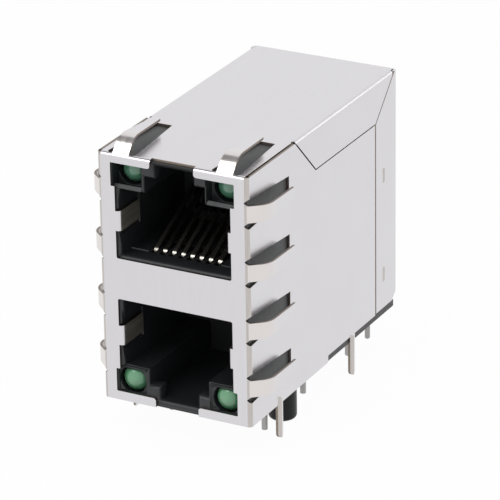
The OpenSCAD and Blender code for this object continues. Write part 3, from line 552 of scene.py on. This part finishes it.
# Inner boards.
# Glass-fibre laminate under a green solder mask. Each board carries a coil case
# and its chips.
laminate, shader, nodes, links = new_finish("board_laminate")
weave = nodes.new("ShaderNodeTexChecker")
weave.inputs["Scale"].default_value = 3000
weave.inputs["Color1"].default_value = (0.018, 0.11, 0.05, 1)
weave.inputs["Color2"].default_value = (0.022, 0.13, 0.06, 1)
place = nodes.new("ShaderNodeTexCoord")
links.new(place.outputs["Object"], weave.inputs["Vector"])
links.new(weave.outputs["Color"], shader.inputs["Base Color"])
mask_gloss = grain(nodes, links, 900)
links.new(spread(nodes, links, mask_gloss, 0.22, 0.34), shader.inputs["Roughness"])
dress(laminate, "upper_board", "lower_board")


# Cores.
# Rings of sintered ferrite with a dull, slightly mottled surface, one in each
# compartment of the coil cases.
def mottled_surface(name, tone_scale, tones, gloss_scale, roughness, metallic=0.0):
    """Surface whose colour and gloss vary apart from each other."""
    surface, shader, nodes, links = new_finish(name)
    shader.inputs["Metallic"].default_value = metallic
    two_tone(nodes, links, shader, grain(nodes, links, tone_scale), *tones)
    gloss = grain(nodes, links, gloss_scale)
    links.new(spread(nodes, links, gloss, *roughness), shader.inputs["Roughness"])
    return surface


ferrite = mottled_surface(
    "ferrite", 2500, ((0.04, 0.038, 0.036), (0.07, 0.066, 0.062)), 1800, (0.6, 0.8))
dress(ferrite, *[f"core_{i}" for i in range(1, 9)])

# Windings.
# Enamelled copper wire, wound by hand round each core in one layer, with an open
# sector between its two ends.
copper = mottled_surface(
    "enamelled_copper", 900, ((0.45, 0.16, 0.06), (0.62, 0.26, 0.10)), 1500, (0.2, 0.35),
    metallic=1.0)

wire_tree = bpy.data.node_groups.new("wound_wire", "GeometryNodeTree")
sockets = wire_tree.interface
sockets.new_socket("Path", in_out="INPUT", socket_type="NodeSocketGeometry")
radius_in = sockets.new_socket("Wire radius", in_out="INPUT", socket_type="NodeSocketFloat")
finish_in = sockets.new_socket("Finish", in_out="INPUT", socket_type="NodeSocketMaterial")
sockets.new_socket("Wire", in_out="OUTPUT", socket_type="NodeSocketGeometry")
entry = wire_tree.nodes.new("NodeGroupInput")
exit_node = wire_tree.nodes.new("NodeGroupOutput")
as_curve = wire_tree.nodes.new("GeometryNodeMeshToCurve")
ring = wire_tree.nodes.new("GeometryNodeCurvePrimitiveCircle")
ring.inputs["Resolution"].default_value = 8
sweep = wire_tree.nodes.new("GeometryNodeCurveToMesh")
sweep.inputs["Fill Caps"].default_value = True
real = wire_tree.nodes.new("GeometryNodeRealizeInstances")
finish = wire_tree.nodes.new("GeometryNodeSetMaterial")
for start, end in (
    (entry.outputs["Path"], as_curve.inputs["Mesh"]),
    (as_curve.outputs["Curve"], sweep.inputs["Curve"]),
    (entry.outputs["Wire radius"], ring.inputs["Radius"]),
    (ring.outputs["Curve"], sweep.inputs["Profile Curve"]),
    (sweep.outputs["Mesh"], real.inputs["Geometry"]),
    (real.outputs["Geometry"], finish.inputs["Geometry"]),
    (entry.outputs["Finish"], finish.inputs["Material"]),
    (finish.outputs["Geometry"], exit_node.inputs["Wire"]),
):
    wire_tree.links.new(start, end)

wire_r = 0.095 * MM
wire_seat = 1.1 * wire_r
core_bore_r = 0.6 * MM
turns, steps_per_turn = 13, 20
open_from, wound_angle = math.radians(126), math.radians(288)
# Each loop is drawn in to this share, so that the wire beds on the wall without a gap
drawn_in = 0.97
for i in range(1, 9):
    low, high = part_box(f"core_{i}")
    centre = (low + high) / 2
    outer = (high.x - low.x) / 2 + wire_seat
    inner = core_bore_r - wire_seat
    middle, half_r = (outer + inner) / 2, (outer - inner) / 2
    half_l = (high.y - low.y) / 2 + wire_seat
    points = []
    for k in range(turns * steps_per_turn + 1):
        round_wall = 2 * math.pi * k / steps_per_turn
        about_axis = open_from + wound_angle * k / (turns * steps_per_turn)
        # A squarish loop that hugs the wall of the ring
        lean = max(abs(math.cos(round_wall)), abs(math.sin(round_wall))) / drawn_in
        reach = middle + half_r * math.cos(round_wall) / lean
        points.append((
            centre.x + reach * math.cos(about_axis),
            centre.y - half_l * math.sin(round_wall) / lean,
            centre.z + reach * math.sin(about_axis),
        ))
    path = bpy.data.meshes.new(f"wire_path_{i}")
    path.from_pydata(points, [(k, k + 1) for k in range(len(points) - 1)], [])
    wire = bpy.data.objects.new(f"wound_wire_{i}", path)
    bpy.context.scene.collection.objects.link(wire)
    winder = wire.modifiers.new("winder", "NODES")
    winder.node_group = wire_tree
    winder[radius_in.identifier] = wire_r
    winder[finish_in.identifier] = copper
    settle(wire)
    wound = wire.data
    wound.shade_smooth()
    if not wound.materials:
        wound.materials.append(copper)
    stand_for(wire, f"winding_{i}")

# Chips on the boards.
# Resistors with a black glaze and a tan ceramic capacitor, soldered on each board.
glaze = mottled_surface(
    "resistor_glaze", 900, ((0.015, 0.015, 0.017), (0.025, 0.025, 0.028)), 1500, (0.25, 0.4))
dress(glaze, "upper_resistors", "lower_resistors")
ceramic = mottled_surface(
    "capacitor_ceramic", 1500, ((0.40, 0.29, 0.17), (0.50, 0.38, 0.23)), 1500, (0.5, 0.65))
dress(ceramic, "upper_capacitor", "lower_capacitor")


# Floor.
# A plain white sheet under the tips of the board tabs. It looks white to the camera and
# in reflections, and keeps a soft shadow.
def worked_out(nodes, links, operation, *terms):
    """Result of a sum on sockets and plain numbers."""
    step = nodes.new("ShaderNodeMath")
    step.operation = operation
    for socket, term in zip(step.inputs, terms):
        if isinstance(term, float):
            socket.default_value = term
        else:
            links.new(term, socket)
    return step.outputs["Value"]


half_side, glow_share = 3.0, 0.97
floor_z = cad_low.z
floor_mesh = bpy.data.meshes.new("floor")
floor_mesh.from_pydata(
    [(x, y, floor_z) for x, y in (
        (-half_side, -half_side), (half_side, -half_side),
        (half_side, half_side), (-half_side, half_side))],
    [], [(0, 1, 2, 3)],
)
floor = bpy.data.objects.new("floor", floor_mesh)
bpy.context.scene.collection.objects.link(floor)
paper = bpy.data.materials.new("floor_paper")
paper.use_nodes = True
nodes, links = paper.node_tree.nodes, paper.node_tree.links
nodes.clear()
matt = nodes.new("ShaderNodeBsdfDiffuse")
matt.inputs["Color"].default_value = (0.85, 0.85, 0.85, 1)
glow = nodes.new("ShaderNodeEmission")
glow.inputs["Strength"].default_value = 1.0
seen = nodes.new("ShaderNodeLightPath")
seen_plain = worked_out(
    nodes, links, "MAXIMUM", seen.outputs["Is Camera Ray"], seen.outputs["Is Transmission Ray"])
seen_at_all = worked_out(nodes, links, "MAXIMUM", seen_plain, seen.outputs["Is Glossy Ray"])
blend = nodes.new("ShaderNodeMixShader")
links.new(worked_out(nodes, links, "MULTIPLY", seen_at_all, glow_share), blend.inputs["Fac"])
links.new(matt.outputs["BSDF"], blend.inputs[1])
links.new(glow.outputs["Emission"], blend.inputs[2])
out = nodes.new("ShaderNodeOutputMaterial")
links.new(blend.outputs["Shader"], out.inputs["Surface"])
floor_mesh.materials.append(paper)
floor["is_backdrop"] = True

# Light.
# A white room with a dark gap in its ceiling beside the softbox, which draws the dark band
# on the bowed fingers, and a weak strip behind the right for the folded edges.
room_level, gap_level = 0.7, 0.2
world = bpy.data.worlds.new("white_room")
bpy.context.scene.world = world
world.use_nodes = True
nodes, links = world.node_tree.nodes, world.node_tree.links
background = nodes["Background"]
towards = nodes.new("ShaderNodeTexCoord")
parts = nodes.new("ShaderNodeSeparateXYZ")
links.new(towards.outputs["Generated"], parts.inputs["Vector"])
# The gap's middle along each axis, and how far it is fully dark and fades out
outside = []
for axis, middle, inner, outer in (("X", -0.44, 0.06, 0.15), ("Y", 0.0, 0.25, 0.42)):
    off = worked_out(nodes, links, "SUBTRACT", parts.outputs[axis], middle)
    fade = nodes.new("ShaderNodeMapRange")
    fade.interpolation_type = "SMOOTHSTEP"
    fade.inputs["From Min"].default_value = inner
    fade.inputs["From Max"].default_value = outer
    links.new(worked_out(nodes, links, "ABSOLUTE", off), fade.inputs["Value"])
    outside.append(fade.outputs["Result"])
gap = nodes.new("ShaderNodeMapRange")
gap.inputs["To Min"].default_value = gap_level - room_level
gap.inputs["To Max"].default_value = 1.0 - room_level
links.new(worked_out(nodes, links, "MAXIMUM", *outside), gap.inputs["Value"])
seen = nodes.new("ShaderNodeLightPath")
glossy = seen.outputs["Is Glossy Ray"]
in_metal = worked_out(nodes, links, "MULTIPLY_ADD", gap.outputs["Result"], glossy, room_level)
straight = worked_out(
    nodes, links, "MAXIMUM", seen.outputs["Is Camera Ray"], seen.outputs["Is Transmission Ray"])
# A ray through rough epoxy counts as glossy too, and is lit once
only_straight = worked_out(nodes, links, "SUBTRACT", straight, glossy)
only_straight.node.use_clamp = True
strength = worked_out(
    nodes, links, "MULTIPLY_ADD", only_straight, 1.0 - room_level, in_metal)
links.new(strength, background.inputs["Strength"])
background.inputs["Color"].default_value = (1, 1, 1, 1)

aim_at = Vector((0, 0.005, 0.013))
for name, place, width, height, power in (
    ("front_softbox", (-0.22, -0.35, 0.50), 0.30, 0.30, 0.8),
    ("rear_strip", (0.28, 0.57, 0.31), 0.30, 0.05, 0.085),
):
    lamp = bpy.data.lights.new(name, "AREA")
    lamp.shape = "RECTANGLE"
    lamp.size, lamp.size_y = width, height
    lamp.energy = power
    holder = bpy.data.objects.new(name, lamp)
    holder.location = place
    holder.rotation_mode = "QUATERNION"
    holder.rotation_quaternion = (aim_at - Vector(place)).to_track_quat("-Z", "Y")
    bpy.context.scene.collection.objects.link(holder)

# Camera.
# It stands to the right of the ports and above them, with a long lens.
azimuth, elevation, roll = (math.radians(v) for v in (28.122, 23.405, 0.944))
stand_x, stand_y, stand_z = 156.455 * MM, -287.268 * MM, 154.930 * MM
look = Vector((
    -math.sin(azimuth) * math.cos(elevation),
    math.cos(azimuth) * math.cos(elevation),
    -math.sin(elevation),
))
level = look.cross(Vector((0, 0, 1))).normalized()
up = level.cross(look)
right = math.cos(roll) * level - math.sin(roll) * up
above = math.sin(roll) * level + math.cos(roll) * up
camera_data = bpy.data.cameras.new("camera")
camera_data.lens = 257.92
camera_data.sensor_width = 36
camera_data.clip_start, camera_data.clip_end = 0.01, 20
camera = bpy.data.objects.new("camera", camera_data)
camera.matrix_world = Matrix((
    (right.x, above.x, -look.x, stand_x),
    (right.y, above.y, -look.y, stand_y),
    (right.z, above.z, -look.z, stand_z),
    (0, 0, 0, 1),
))
bpy.context.scene.collection.objects.link(camera)
bpy.context.scene.camera = camera
bpy.context.scene.view_settings.view_transform = "Standard"

low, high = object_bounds()
